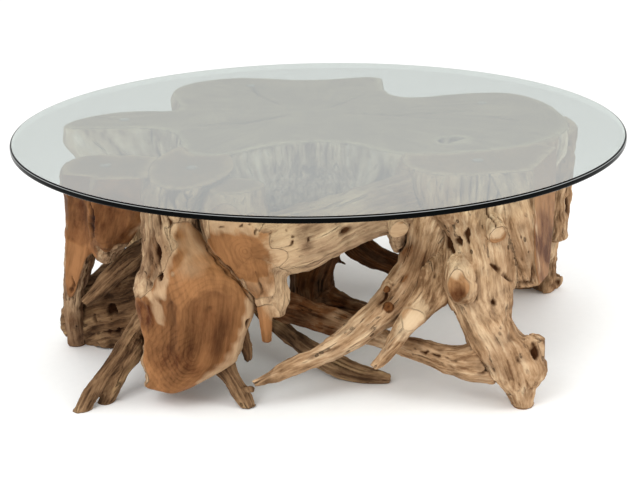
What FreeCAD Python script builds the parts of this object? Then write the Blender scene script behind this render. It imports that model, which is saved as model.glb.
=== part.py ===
import FreeCAD, Part

import math
import os

# Root coffee table: a round glass top lies loose on a base that is pieced together from teak roots.
# The frame has +Z up and +X to the right of someone who stands in front, at -Y.
# Its origin is on the floor under the centre of the glass. All lengths are millimetres.

Vector = FreeCAD.Vector

# Driving dimensions
TABLE_HEIGHT = 430.0
GLASS_DIAMETER = 1200.0
GLASS_THICKNESS = 12.0
GLASS_EDGE_ROUND = 4.0
PAD_DIAMETER = 20.0
PAD_THICKNESS = 2.0
CROWN_RIM = 60.0
CROWN_DEPTH = 130.0
PIT_DIAMETER = 60.0
PIT_DEPTH = 70.0
GLUE_LINE = 0.4
DOWEL_DIAMETER = 12.0
DOWEL_LENGTH = 64.0
DOWEL_CLEARANCE = 0.2

# Heights that follow from them
CROWN_HEIGHT = TABLE_HEIGHT - GLASS_THICKNESS - PAD_THICKNESS

# How the sections of a root are drawn
SECTION_POINTS = 12
LOBES = 3
FLUTING = 0.05
SAW_REACH = 1500.0

# The rotted knot in the stump's sawn top
PIT_PLACE = (264, -90)
PIT_LEAN = Vector(-0.3, 0.3, -1)

# Ways that a section's first half-size can point
ACROSS = Vector(1, 0, 0)
FORE_AFT = Vector(0, 1, 0)
DIAGONAL_LEFT = Vector(-1, 1, 0)
DIAGONAL_RIGHT = Vector(3, 4, 0)


def at(x, y, level):
    """A point of the base; level is its height in per cent of the crown's height."""
    return Vector(x, y, level * CROWN_HEIGHT / 100.0)


class Limb:
    """One run of root. Each station is (x, y, level, first half-size, second half-size).

    The first half-size lies along side, the second one square to it and to the run.
    saws are (point, outward normal) of the flat cuts that were made on this run.
    """

    def __init__(self, stations, side, level=False, saws=()):
        self.points = [at(*station[:3]) for station in stations]
        self.sizes = [station[3:] for station in stations]
        self.side = side
        self.level = level
        self.saws = saws

    def direction(self, index):
        """What the section at a station is square to: the run, or straight down for a level one."""
        if self.level:
            return Vector(0, 0, -1)
        before = self.points[max(index - 1, 0)]
        after = self.points[min(index + 1, len(self.points) - 1)]
        return (after - before).normalize()

    def section(self, index, grow):
        """The closed, softly lobed outline at a station, swollen by grow."""
        along = self.direction(index)
        centre = self.points[index]
        if index == 0:
            centre = centre - along * grow
        if index == len(self.points) - 1:
            centre = centre + along * grow
        first = (self.side - along * self.side.dot(along)).normalize()
        second = along.cross(first)
        half_first, half_second = self.sizes[index]
        outline = []
        for step in range(SECTION_POINTS):
            angle = 2 * math.pi * step / SECTION_POINTS
            lobe = 1 + FLUTING * math.cos(LOBES * angle + index)
            across = (half_first * lobe + grow) * math.cos(angle)
            upward = (half_second * lobe + grow) * math.sin(angle)
            outline.append(centre + first * across + second * upward)
        curve = Part.BSplineCurve()
        curve.interpolate(outline, PeriodicFlag=True)
        return Part.Wire(curve.toShape())

    def solid(self, grow=0.0):
        """The limb as one solid, swollen by grow, with its saw cuts made."""
        wires = [self.section(index, grow) for index in range(len(self.points))]
        wood = Part.makeLoft(wires, True, False, False, 3)
        for point, normal in self.saws:
            wood = saw(wood, point + normal * grow, normal)
        return wood


class Crown:
    """The sawn stump: a lobed slab with an upright rim, drawn in underneath."""

    def __init__(self, outline, heart):
        self.outline = outline
        self.heart = heart

    def ring(self, drop, share, grow):
        """The outline at a depth below the sawn top, drawn in to a share of its reach."""
        points = []
        for x, y in self.outline:
            reach = Vector(x - self.heart[0], y - self.heart[1], 0)
            length = reach.Length
            place = reach.normalize() * (length * share + grow)
            points.append(Vector(*self.heart, CROWN_HEIGHT - drop) + place)
        curve = Part.BSplineCurve()
        curve.interpolate(points, PeriodicFlag=True)
        return Part.Wire(curve.toShape())

    def solid(self, grow=0.0):
        """The slab as one solid, swollen by grow."""
        slope = (CROWN_RIM + CROWN_DEPTH) / 2
        rings = [
            self.ring(-grow, 1.0, grow),
            self.ring(CROWN_RIM, 0.99, grow),
            self.ring(slope, 0.90, grow),
            self.ring(CROWN_DEPTH + grow, 0.66, grow),
        ]
        slab = Part.makeLoft(rings, True, False, False, 3)
        if grow:
            return slab
        mouth = Vector(*PIT_PLACE, CROWN_HEIGHT + 1)
        return slab.cut(Part.makeCone(PIT_DIAMETER / 2, PIT_DIAMETER / 4, PIT_DEPTH, mouth, PIT_LEAN))


class Root:
    """One natural piece of root: its limbs grown together, levelled on the floor and at the crown."""

    def __init__(self, *limbs):
        self.limbs = limbs

    def solid(self):
        """The whole piece, before it is fitted to its neighbours."""
        wood = self.limbs[0].solid()
        if len(self.limbs) > 1:
            wood = wood.fuse([limb.solid() for limb in self.limbs[1:]]).removeSplitter()
        wood = saw(wood, Vector(0, 0, 0), Vector(0, 0, -1))
        return saw(wood, Vector(0, 0, CROWN_HEIGHT), Vector(0, 0, 1))

    def swollen(self, grow):
        """The limbs one by one, swollen by grow, to cut a neighbour with."""
        return [limb.solid(grow) for limb in self.limbs]


def saw(wood, point, normal):
    """What is left of the wood behind a saw cut through point, square to normal."""
    waste = Part.makeBox(2 * SAW_REACH, 2 * SAW_REACH, SAW_REACH)
    waste.translate(Vector(-SAW_REACH, -SAW_REACH, 0))
    turn = FreeCAD.Rotation(Vector(0, 0, 1), normal)
    waste.Placement = FreeCAD.Placement(point, turn).multiply(waste.Placement)
    return wood.cut(waste)


def toward(x, y, z):
    """A unit direction."""
    return Vector(x, y, z).normalize()


def largest(shape):
    """The biggest solid of a shape, without the chips that a cut may leave."""
    return max(shape.Solids, key=lambda solid: solid.Volume)


# The sawn top of the stump, as seen from above
CROWN = Crown(
    [
        (-140, -140), (-50, -85), (50, -90), (140, -170), (270, -180), (400, -130),
        (490, -20), (500, 130), (420, 310), (290, 305), (190, 290), (150, 370),
        (140, 495), (0, 480), (-170, 515), (-275, 480), (-325, 370), (-300, 205),
        (-420, 195), (-515, 75), (-420, 60), (-300, 30), (-262, -95), (-225, -165),
    ],
    (-10, 170),
)

RIGHT_FRONT_LEG = Root(
    Limb(
        [
            (280, -228, 102, 122, 95), (272, -285, 80, 84, 80), (284, -325, 59, 66, 62),
            (287, -345, 45, 62, 58), (302, -365, 34, 50, 50), (332, -385, 23, 60, 48),
            (352, -393, 10, 40, 36), (362, -396, 0, 23, 25), (365, -397, -6, 20, 22),
        ],
        ACROSS,
        level=True,
    ),
    Limb(
        [(340, -200, 102, 120, 115), (346, -235, 75, 100, 98), (345, -268, 58, 90, 74), (345, -280, 48.5, 82, 56)],
        ACROSS,
        level=True,
        saws=[(at(386, -322, 74.5), toward(0.91, -0.41, 0.11))],
    ),
    Limb([(325, -383, 24, 28, 30), (399, -392, 24, 26, 30)], FORE_AFT),
    Limb([(268, -330, 55, 30, 40), (246, -392, 57, 27, 42), (240, -408, 57.5, 17, 28)], ACROSS),
    Limb([(284, -310, 84, 22, 22), (311, -386, 77, 18, 20)], ACROSS),
)

FRONT_LEFT_BLOCK = Root(
    Limb(
        [
            (-228, -245, 102, 88, 135), (-262, -280, 84, 57, 105), (-250, -318, 70, 70, 88),
            (-228, -335, 57, 98, 88), (-223, -341, 45, 108, 84), (-231, -346, 31, 91, 80),
            (-237, -352, 24, 91, 70), (-248, -358, 17.5, 80, 58), (-272, -364, 11, 54, 46),
            (-284, -366, 8.5, 36, 36),
        ],
        ACROSS,
        level=True,
        saws=[
            (at(-185, -402, 36), toward(0.36, -0.93, 0)),
            (at(-282, -402, 31), toward(-0.5, -0.87, 0)),
        ],
    ),
    Limb([(-278, -345, 42, 34, 58), (-306, -375, 41.5, 30, 54), (-314, -384, 41.5, 18, 38)], FORE_AFT),
)

FRONT_CENTER_BLOCK = Root(
    Limb(
        [
            (-150, -325, 97, 52, 52), (-150, -338, 82, 66, 62), (-128, -345, 68, 66, 58),
            (-98, -350, 55, 46, 46), (-80, -356, 41, 18, 26),
        ],
        ACROSS,
        level=True,
        saws=[(at(-145, -388, 70), toward(-0.1, -0.99, 0))],
    ),
    Limb([(-108, -360, 62, 22, 22), (-101, -384, 46, 14, 13), (-98, -390, 31, 9, 9)], ACROSS),
    Limb([(146, -280, 80, 30, 30), (145, -292, 70, 22, 26), (143, -296, 62.5, 12, 14)], ACROSS, level=True),
    Limb(
        [
            (215, -265, 89, 45, 42), (125, -292, 85, 44, 52), (57, -320, 82, 42, 50),
            (-20, -345, 75, 44, 58), (-100, -350, 69, 44, 60), (-160, -345, 67, 36, 46),
        ],
        FORE_AFT,
        saws=[(at(-145, -388, 70), toward(-0.1, -0.99, 0))],
    ),
    Limb([(130, -310, 83, 22, 22), (140, -356, 78, 18, 20)], ACROSS),
)

BRACE_ROOT = Root(
    Limb(
        [
            (212, -262, 90, 40, 40), (190, -298, 69, 34, 36), (170, -310, 56, 33, 36),
            (138, -325, 45, 34, 37), (90, -343, 35, 28, 30), (31, -360, 26, 21, 24),
            (-24, -375, 21, 17, 19), (-78, -390, 16.5, 12, 14), (-126, -402, 12.5, 7, 7),
        ],
        FORE_AFT,
    ),
    Limb([(140, -325, 46, 26, 26), (112, -338, 51, 16, 18)], FORE_AFT),
    Limb([(124, -335, 51, 9, 9), (117, -366, 52, 8, 9)], ACROSS),
    Limb([(126, -335, 44, 11, 11), (119, -367, 44, 9, 10)], ACROSS),
)

LEFT_SLAB_ROOT = Root(
    Limb(
        [
            (-396, -235, 102, 76, 92), (-424, -218, 84, 50, 62), (-450, -195, 62, 34, 46),
            (-480, -150, 36, 24, 36), (-492, -98, 14, 20, 32), (-498, -56, -6, 20, 30),
        ],
        ACROSS,
        level=True,
        saws=[(at(-462, -226, 62), toward(-0.3, -0.9, -0.3))],
    ),
    Limb(
        [
            (-345, -240, 102, 74, 92), (-370, -245, 80, 66, 60), (-392, -228, 64, 38, 40),
            (-408, -208, 54, 14, 20),
        ],
        ACROSS,
        level=True,
        saws=[(at(-380, -290, 75), toward(0, -0.97, -0.24))],
    ),
)

RIGHT_PANEL_ROOT = Root(
    Limb(
        [
            (405, -70, 102, 62, 62), (400, -25, 70, 50, 54), (414, 42, 52, 44, 50),
            (430, 125, 28, 40, 46), (440, 190, 11, 38, 44), (448, 238, -6, 38, 42),
        ],
        ACROSS,
        level=True,
    )
)

RIGHT_END_ROOT = Root(
    Limb(
        [(482, 45, 98, 38, 80), (481, 55, 66, 37, 68), (481, 62, 41, 35, 60)],
        ACROSS,
        level=True,
    ),
    Limb(
        [(474, 78, 52, 33, 54), (480, 118, 30, 28, 48), (490, 170, 12, 25, 44), (496, 215, -6, 24, 40)],
        ACROSS,
        level=True,
    ),
    Limb([(488, 200, 7, 20, 22), (530, 190, 3, 10, 12)], FORE_AFT),
)

LOWER_CROSS_ROOT = Root(
    Limb(
        [
            (318, -385, 20, 30, 36), (221, -370, 20, 24, 27), (178, -342, 21, 20, 22),
            (106, -292, 22.5, 18, 22), (51, -270, 25.5, 20, 25), (-5, -250, 28, 22, 28),
            (-63, -240, 33, 25, 31), (-165, -300, 45, 26, 28),
        ],
        FORE_AFT,
    )
)

SPUR_ROOT = Root(
    Limb(
        [
            (222, -275, 90, 40, 40), (216, -312, 71, 34, 36), (212, -336, 56, 29, 33),
            (192, -352, 44.5, 25, 26), (160, -370, 37.5, 19, 19), (131, -390, 30.5, 15, 16),
            (88, -415, 20.5, 9, 9),
        ],
        FORE_AFT,
        saws=[(at(178, -380, 41), toward(0.1, -0.85, 0.47))],
    )
)

LEFT_PANEL_ROOT = Root(
    Limb(
        [
            (-508, -64, 4, 16, 26), (-450, -96, 15, 22, 76), (-390, -120, 21, 26, 100),
            (-320, -158, 28, 28, 122), (-215, -290, 40, 28, 80),
        ],
        FORE_AFT,
    )
)

LEFT_STUB_ROOT = Root(
    Limb(
        [
            (-455, -195, 32, 13, 14), (-400, -192, 44, 16, 18), (-345, -205, 56, 20, 21),
            (-278, -262, 69, 22, 24),
        ],
        FORE_AFT,
    )
)

FRONT_LEFT_LEG = Root(
    Limb(
        [
            (-268, -295, 47, 22, 24), (-340, -290, 29, 18, 19), (-378, -330, 18.5, 16, 17),
            (-405, -356, 10.5, 16, 17), (-429, -376, 4, 17, 18), (-443, -388, -4, 17, 18),
        ],
        DIAGONAL_LEFT,
    ),
    Limb(
        [
            (-345, -294, 27, 14, 17), (-368, -338, 12, 14, 16), (-391, -350, 4, 15, 17),
            (-403, -358, -4, 15, 16),
        ],
        DIAGONAL_LEFT,
    ),
)

FRONT_MIDDLE_LEG = Root(
    Limb(
        [
            (-205, -335, 27, 18, 18), (-177, -357, 16, 16, 17), (-158, -372, 9, 15, 16),
            (-140, -383, 2.5, 15, 15), (-130, -389, -4, 14, 14),
        ],
        DIAGONAL_RIGHT,
    ),
    Limb([(-150, -380, 7, 9, 9), (-124, -397, 10, 7, 7)], FORE_AFT),
)

HANGING_SPIKE = Root(
    Limb([(-165, -330, 38, 14, 14), (-142, -323, 26, 12, 12), (-137, -321, 15, 9, 9)], ACROSS)
)

INNER_CENTER_LEG = Root(
    Limb(
        [
            (40, 75, 80, 66, 60), (14, 60, 42, 54, 50), (-18, 52, 24, 50, 46),
            (-20, 48, 12, 49, 44), (-18, 46, -6, 56, 48),
        ],
        ACROSS,
        level=True,
    ),
    Limb([(-10, 45, 9, 36, 34), (70, 32, 5, 26, 26), (112, 26, 3, 14, 16)], FORE_AFT),
    Limb([(25, 45, 32, 10, 10), (56, 40, 28, 6, 6)], FORE_AFT),
)

LOW_CURVED_ROOT = Root(
    Limb(
        [
            (-180, 60, 80, 40, 40), (-165, 0, 53, 34, 34), (-130, -90, 30, 26, 26),
            (-92, -150, 17, 20, 20), (-54, -200, 13, 18, 20), (-10, -240, 8.5, 20, 22),
            (41, -270, 5, 20, 21), (88, -285, 3, 17, 17), (128, -292, 2, 9, 9),
        ],
        DIAGONAL_RIGHT,
    )
)

REAR_ARCH_ROOT = Root(
    Limb(
        [
            (15, 90, 58, 34, 36), (65, 100, 37, 26, 28), (107, 102, 28, 26, 28),
            (156, 108, 22, 25, 26), (230, 130, 12, 26, 27), (300, 160, 3, 24, 24),
            (330, 172, -4, 20, 20),
        ],
        FORE_AFT,
    )
)

LEFT_REAR_LEG = Root(
    Limb(
        [(-400, 128, 84, 50, 46), (-392, 148, 45, 38, 36), (-381, 168, 10, 32, 32), (-378, 174, -6, 35, 34)],
        ACROSS,
        level=True,
    )
)

REAR_LEFT_LEG = Root(
    Limb(
        [(-235, 330, 82, 60, 60), (-245, 365, 45, 46, 46), (-255, 395, 12, 38, 38), (-258, 402, -6, 40, 40)],
        ACROSS,
        level=True,
    )
)

REAR_CENTER_LEG = Root(
    Limb(
        [(-50, 370, 82, 60, 56), (-58, 400, 40, 44, 42), (-62, 425, 10, 34, 34), (-64, 430, -6, 36, 36)],
        ACROSS,
        level=True,
    )
)

REAR_RIGHT_LEG = Root(
    Limb(
        [(320, 215, 82, 62, 60), (330, 270, 45, 46, 44), (338, 318, 10, 36, 36), (340, 325, -6, 38, 38)],
        ACROSS,
        level=True,
    )
)

REAR_CROSS_ROOT = Root(
    Limb(
        [(-250, 380, 44, 24, 26), (-190, 425, 30, 21, 24), (-130, 436, 24, 20, 22), (-58, 412, 30, 22, 23)],
        FORE_AFT,
    )
)

# The roots in the order that they are fitted: each is coped to the ones before it
ROOTS = {
    "right_front_leg": RIGHT_FRONT_LEG,
    "front_left_block": FRONT_LEFT_BLOCK,
    "front_center_block": FRONT_CENTER_BLOCK,
    "brace_root": BRACE_ROOT,
    "left_slab_root": LEFT_SLAB_ROOT,
    "right_panel_root": RIGHT_PANEL_ROOT,
    "right_end_root": RIGHT_END_ROOT,
    "lower_cross_root": LOWER_CROSS_ROOT,
    "spur_root": SPUR_ROOT,
    "left_panel_root": LEFT_PANEL_ROOT,
    "left_stub_root": LEFT_STUB_ROOT,
    "front_left_leg": FRONT_LEFT_LEG,
    "front_middle_leg": FRONT_MIDDLE_LEG,
    "hanging_spike": HANGING_SPIKE,
    "inner_center_leg": INNER_CENTER_LEG,
    "low_curved_root": LOW_CURVED_ROOT,
    "rear_arch_root": REAR_ARCH_ROOT,
    "left_rear_leg": LEFT_REAR_LEG,
    "rear_left_leg": REAR_LEFT_LEG,
    "rear_center_leg": REAR_CENTER_LEG,
    "rear_right_leg": REAR_RIGHT_LEG,
    "rear_cross_root": REAR_CROSS_ROOT,
}

# Glued dowels: each runs from a point inside the first root toward a point inside the second one
JOINTS = [
    ("right_front_leg", (280, -200, 93), "stump_crown", (275, -110, 93)),
    ("front_left_block", (-215, -200, 93), "stump_crown", (-205, -90, 93)),
    ("front_center_block", (100, -300, 84), "right_front_leg", (230, -262, 88)),
    ("front_center_block", (-150, -330, 78), "front_left_block", (-240, -310, 78)),
    ("brace_root", (186, -302, 66), "right_front_leg", (240, -272, 86)),
    ("left_slab_root", (-370, -240, 88), "front_left_block", (-262, -280, 88)),
    ("right_panel_root", (410, 0, 58), "stump_crown", (404, 20, 90)),
    ("right_end_root", (486, 62, 62), "stump_crown", (440, 90, 92)),
    ("lower_cross_root", (265, -378, 20), "right_front_leg", (328, -385, 22)),
    ("lower_cross_root", (-100, -262, 38), "front_left_block", (-185, -312, 47)),
    ("spur_root", (204, -344, 50), "right_front_leg", (272, -326, 60)),
    ("left_panel_root", (-272, -220, 34), "front_left_block", (-222, -300, 42)),
    ("left_panel_root", (-455, -94, 14), "left_slab_root", (-492, -98, 14)),
    ("left_stub_root", (-335, -212, 58), "front_left_block", (-262, -276, 72)),
    ("front_left_leg", (-330, -290, 32), "front_left_block", (-258, -298, 50)),
    ("front_middle_leg", (-182, -353, 18), "front_left_block", (-210, -331, 29)),
    ("hanging_spike", (-147, -324, 28.5), "front_left_block", (-172, -332, 42)),
    ("inner_center_leg", (28, 68, 58), "stump_crown", (35, 75, 88)),
    ("low_curved_root", (-172, 28, 64), "stump_crown", (-182, 68, 84)),
    ("rear_arch_root", (42, 96, 46), "inner_center_leg", (18, 76, 62)),
    ("left_rear_leg", (-397, 138, 66), "stump_crown", (-402, 126, 92)),
    ("rear_left_leg", (-240, 346, 62), "stump_crown", (-232, 322, 88)),
    ("rear_center_leg", (-54, 388, 60), "stump_crown", (-48, 365, 86)),
    ("rear_right_leg", (325, 242, 62), "stump_crown", (317, 208, 88)),
    ("rear_cross_root", (-215, 410, 36), "rear_left_leg", (-252, 375, 46)),
    ("rear_cross_root", (-100, 430, 26), "rear_center_leg", (-55, 408, 31)),
]

# Where the clear pads lie on the sawn tops
PADS = [(-400, 120), (-150, 420), (350, 210), (-390, -230), (-230, -255), (290, -240)]


def fit_roots():
    """The crown, and every root coped to it and to the roots that were fitted before."""
    fitted = {"stump_crown": CROWN.solid()}
    cutters = [CROWN.solid(GLUE_LINE)]
    for name, root in ROOTS.items():
        wood = root.solid()
        near = [tool for tool in cutters if tool.BoundBox.intersect(wood.BoundBox)]
        if near:
            wood = wood.cut(near)
        fitted[name] = largest(wood)
        cutters.extend(root.swollen(GLUE_LINE))
    return fitted


def meeting(start, end, parent):
    """The point on the way from start to end where the parent's wood begins."""
    outside = 0.0
    inside = 1.0
    for _ in range(12):
        middle = (outside + inside) / 2
        if parent.isInside(start + (end - start) * middle, 0.01, True):
            inside = middle
        else:
            outside = middle
    return start + (end - start) * inside


def rod(middle, along, radius, length):
    """A round bar about a middle point."""
    return Part.makeCylinder(radius, length, middle - along * (length / 2), along)


def join(fitted):
    """Bore the roots for their dowels, and return the dowels as one group."""
    dowels = []
    bores = []
    for _, start, parent, end in JOINTS:
        along = (at(*end) - at(*start)).normalize()
        middle = meeting(at(*start), at(*end), fitted[parent])
        dowels.append(rod(middle, along, DOWEL_DIAMETER / 2, DOWEL_LENGTH))
        bore_radius = DOWEL_DIAMETER / 2 + DOWEL_CLEARANCE
        bores.append(rod(middle, along, bore_radius, DOWEL_LENGTH + 10 * DOWEL_CLEARANCE))
    for name, wood in fitted.items():
        near = [bore for bore in bores if bore.BoundBox.intersect(wood.BoundBox)]
        if near:
            fitted[name] = largest(wood.cut(near))
    return Part.makeCompound(dowels)


def make_glass():
    """The round top with its ground and polished edge."""
    base = Vector(0, 0, TABLE_HEIGHT - GLASS_THICKNESS)
    disc = Part.makeCylinder(GLASS_DIAMETER / 2, GLASS_THICKNESS, base)
    rims = [edge for edge in disc.Edges if edge.BoundBox.ZLength < GLASS_THICKNESS / 2]
    return disc.makeFillet(GLASS_EDGE_ROUND, rims)


def make_pads():
    """The clear pads between the sawn tops and the glass."""
    radius = PAD_DIAMETER / 2
    return Part.makeCompound([Part.makeCylinder(radius, PAD_THICKNESS, at(x, y, 100)) for x, y in PADS])


def main():
    parts = fit_roots()
    parts["joint_dowels"] = join(parts)
    parts["glass_pads"] = make_pads()
    parts["glass_top"] = make_glass()
    os.makedirs("parts", exist_ok=True)
    for name, shape in parts.items():
        shape.exportStep(os.path.join("parts", name + ".step"))


main()
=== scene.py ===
"""Looks of a root coffee table: teak roots, sawn in places and weathered in others, under a loose glass top."""

import functools
import math

import bmesh
import bpy
import numpy as np
from mathutils import Matrix, Vector
from mathutils.bvhtree import BVHTree
from mathutils.kdtree import KDTree


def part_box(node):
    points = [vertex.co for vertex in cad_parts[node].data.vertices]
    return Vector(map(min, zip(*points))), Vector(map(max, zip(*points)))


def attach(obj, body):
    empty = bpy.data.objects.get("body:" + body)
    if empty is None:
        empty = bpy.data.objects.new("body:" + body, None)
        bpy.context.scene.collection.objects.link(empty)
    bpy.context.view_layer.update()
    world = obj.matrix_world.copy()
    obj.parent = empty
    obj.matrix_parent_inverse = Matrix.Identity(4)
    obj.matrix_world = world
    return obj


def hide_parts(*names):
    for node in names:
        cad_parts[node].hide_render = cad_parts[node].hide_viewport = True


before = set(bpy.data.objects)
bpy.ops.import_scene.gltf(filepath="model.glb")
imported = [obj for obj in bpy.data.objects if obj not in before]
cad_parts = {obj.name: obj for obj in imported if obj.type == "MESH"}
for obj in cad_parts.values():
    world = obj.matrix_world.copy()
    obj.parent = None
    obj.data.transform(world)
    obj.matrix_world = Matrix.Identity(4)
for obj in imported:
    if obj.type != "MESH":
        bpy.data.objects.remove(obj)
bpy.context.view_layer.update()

MM = 0.001

# Heights that the roots are levelled to
FLOOR = 0.0
CROWN_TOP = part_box("stump_crown")[1].z

# A flat patch of the solid that is larger than this was sawn, across the fibres where it faces up as far as this
SAWN_AREA, CUT_UPWARD = 900 * MM * MM, 0.8

# The pale rim of a saw cut, inside the bark, and how far it turns to sapwood
SAP_RIM, SAP_RIM_SHARE = 28 * MM, 0.6

# Where a root leaves another, its wood swells out into a collar
COLLAR_HEIGHT, COLLAR_REACH = 7 * MM, 26 * MM

# Ground faces fade into grown wood over so many millimetres, and the dishes are darkened by this much as painted shade
GROUND_FADE, DISH_SHADE = 14, 0.3

# The stump's fibres run straight down inside its core, round a middle in millimetres
STUMP_MIDDLE, STUMP_CORE = (-10, 170), 280 * MM

# Growth rings of two piths merge over this width, and the grain of a root's next limb starts so far on
RING_BLEND, LIMB_SHIFT = 12 * MM, 0.7

# Even grids that the roots' meshes are drawn on
FINE, MEDIUM, COARSE = 2.0 * MM, 2.5 * MM, 4.0 * MM

# How a root is worn: steps that round off its edges, then the height or depth of each form in millimetres
WEAR = ("Rounding", "Lump height", "Knurl height", "Flute height", "Fissure depth", "Pit depth")
BULKY = (6, 6, 2.5, 2.2, 7, 6)
STUMP = (5, 8, 1.0, 3.2, 7, 4)
SMOOTH = (6, 5, 1.8, 1.5, 5, 5)
SLIM = (4, 3, 1.6, 1.6, 4, 3)

# The photograph's viewpoint, fitted to the rim of the glass: place in metres, angles in degrees, lens in millimetres
CAMERA_PLACE, CAMERA_PITCH, CAMERA_ROLL, CAMERA_LENS = (0, -2.702, 1.108), 18.82, -1.03, 78.75

# The runs of each root but the stump, in millimetres: their fibres follow these lines
GRAIN_LINES = {
    "right_front_leg": [
        [(280, -230, 424), (270, -295, 320), (284, -325, 245), (287, -345, 187), (305, -365, 141),
         (332, -385, 96), (352, -393, 42), (362, -396, 0)],
        [(330, -250, 424), (358, -272, 310), (400, -290, 200)],
    ],
    "front_left_block": [
        [(-228, -250, 424), (-262, -290, 350), (-250, -318, 291), (-228, -335, 237), (-223, -341, 187),
         (-238, -350, 100), (-278, -362, 50)],
    ],
    "front_center_block": [
        [(-150, -325, 404), (-150, -338, 341), (-128, -345, 283), (-98, -350, 229), (-80, -356, 171)],
        [(-108, -360, 258), (-101, -384, 191), (-98, -390, 129)],
        [(215, -265, 370), (125, -292, 354), (57, -320, 341), (-20, -345, 312), (-100, -350, 287)],
    ],
    "brace_root": [
        [(212, -262, 374), (190, -298, 287), (170, -310, 233), (138, -325, 187), (90, -343, 146),
         (31, -360, 108), (-24, -375, 87), (-126, -402, 52)],
    ],
    "left_slab_root": [
        [(-396, -235, 424), (-424, -218, 350), (-450, -195, 258), (-480, -150, 150), (-492, -98, 58),
         (-498, -56, -25)],
        [(-345, -240, 424), (-370, -245, 333), (-392, -228, 266), (-408, -208, 225)],
    ],
    "right_panel_root": [
        [(405, -70, 424), (400, -25, 291), (414, 42, 216), (430, 125, 116), (440, 190, 46), (448, 238, -25)],
    ],
    "right_end_root": [
        [(482, 45, 408), (481, 55, 275), (478, 90, 180), (480, 118, 125), (490, 170, 50), (496, 215, -25)],
    ],
    "lower_cross_root": [
        [(318, -385, 83), (221, -370, 83), (178, -342, 87), (106, -292, 96), (51, -270, 110), (-5, -250, 123),
         (-63, -240, 141), (-165, -300, 187)],
    ],
    "spur_root": [
        [(222, -275, 374), (216, -312, 295), (212, -336, 233), (194, -352, 183), (166, -370, 150),
         (138, -390, 119), (90, -415, 79)],
    ],
    "left_panel_root": [
        [(-508, -64, 17), (-450, -96, 62), (-390, -120, 87), (-320, -158, 116), (-215, -290, 166)],
    ],
    "left_stub_root": [[(-455, -195, 133), (-400, -192, 183), (-345, -205, 233), (-278, -262, 287)]],
    "front_left_leg": [
        [(-268, -295, 196), (-340, -290, 121), (-378, -330, 77), (-405, -356, 44), (-440, -387, -17)],
    ],
    "front_middle_leg": [[(-205, -335, 112), (-177, -357, 67), (-158, -372, 37), (-130, -389, -17)]],
    "hanging_spike": [[(-165, -330, 158), (-148, -325, 108), (-144, -324, 62)]],
    "inner_center_leg": [
        [(40, 75, 333), (14, 60, 175), (-18, 52, 100), (-20, 48, 50), (-18, 46, -25)],
        [(-10, 45, 37), (70, 32, 21), (112, 26, 12)],
    ],
    "low_curved_root": [
        [(-180, 60, 333), (-165, 0, 220), (-130, -90, 125), (-92, -150, 71), (-54, -200, 54), (-10, -240, 35),
         (41, -270, 21), (88, -285, 12), (128, -292, 8)],
    ],
    "rear_arch_root": [
        [(15, 90, 241), (65, 100, 154), (107, 102, 116), (156, 108, 92), (230, 130, 50), (330, 172, -17)],
    ],
    "left_rear_leg": [[(-400, 128, 349), (-392, 148, 187), (-378, 174, -25)]],
    "rear_left_leg": [[(-235, 330, 341), (-245, 365, 187), (-258, 402, -25)]],
    "rear_center_leg": [[(-50, 370, 341), (-58, 400, 166), (-64, 430, -25)]],
    "rear_right_leg": [[(320, 215, 341), (330, 270, 187), (340, 325, -25)]],
    "rear_cross_root": [[(-250, 380, 183), (-190, 425, 125), (-130, 436, 100), (-58, 412, 125)]],
}

# Piths that show as ring centres on a sanded face, where a branch once grew out: (place, way it grew)
PITHS = {
    "stump_crown": [
        ((-10, 170, 400), (0, 0, 1)), ((-380, 120, 400), (0, 0, 1)), ((330, 120, 400), (0, 0, 1)),
        ((-160, 400, 400), (0, 0, 1)),
    ],
    "front_left_block": [((-196, -406, 199), (0.36, -0.93, 0)), ((-226, -418, 112), (0.3, -0.95, 0))],
    "front_center_block": [((-134, -389, 300), (-0.1, -0.99, 0.1))],
    "right_front_leg": [((311, -386, 320), (0.3, -0.85, -0.4)), ((240, -405, 236), (-0.4, -0.9, 0))],
}

# Faces that were ground smooth by hand, beyond the saw cuts: (middle, reach) in millimetres
GROUND_FACES = {
    "front_left_block": [
        ((-192, -412, 205), 118), ((-235, -420, 112), 98), ((-205, -395, 318), 62), ((-285, -400, 130), 62),
        ((-316, -384, 176), 44), ((-255, -405, 62), 62),
    ],
    "front_center_block": [((-140, -390, 305), 66), ((-112, -390, 235), 34), ((-99, -395, 165), 46)],
    "left_slab_root": [((-436, -285, 335), 78), ((-372, -300, 332), 80), ((-455, -245, 260), 50)],
    "right_front_leg": [((239, -408, 226), 30)],
    "spur_root": [((162, -388, 166), 30)],
}

# Roots whose saw cuts have weathered until they look grown
OLD_CUTS = ("spur_root",)

# Bands of pale sapwood that the grinding left: (the line it follows, half its width) in millimetres
SAPWOOD = {
    "front_left_block": [
        ([(-110, -376, 210), (-118, -384, 170), (-136, -388, 120), (-160, -390, 84), (-205, -394, 56)], 21),
        ([(-256, -390, 368), (-264, -399, 318), (-275, -405, 272), (-286, -402, 228)], 14),
        ([(-325, -368, 224), (-306, -388, 227), (-293, -397, 205), (-288, -400, 175)], 10),
    ],
    "front_center_block": [
        ([(-72, -390, 350), (-62, -392, 300), (-56, -368, 245), (-72, -380, 200)], 34),
        ([(136, -358, 326), (144, -358, 322)], 26), ([(-178, -382, 352), (-140, -389, 352), (-90, -388, 346)], 20),
    ],
    "left_slab_root": [([(-318, -262, 358), (-322, -272, 315), (-340, -276, 283)], 15)],
    "right_front_leg": [
        ([(236, -400, 270), (250, -398, 268)], 20), ([(304, -391, 326), (314, -391, 326)], 15),
        ([(392, -314, 350), (395, -312, 290), (393, -320, 225)], 7),
    ],
    "spur_root": [([(148, -392, 148), (175, -384, 182)], 20)],
}

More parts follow.
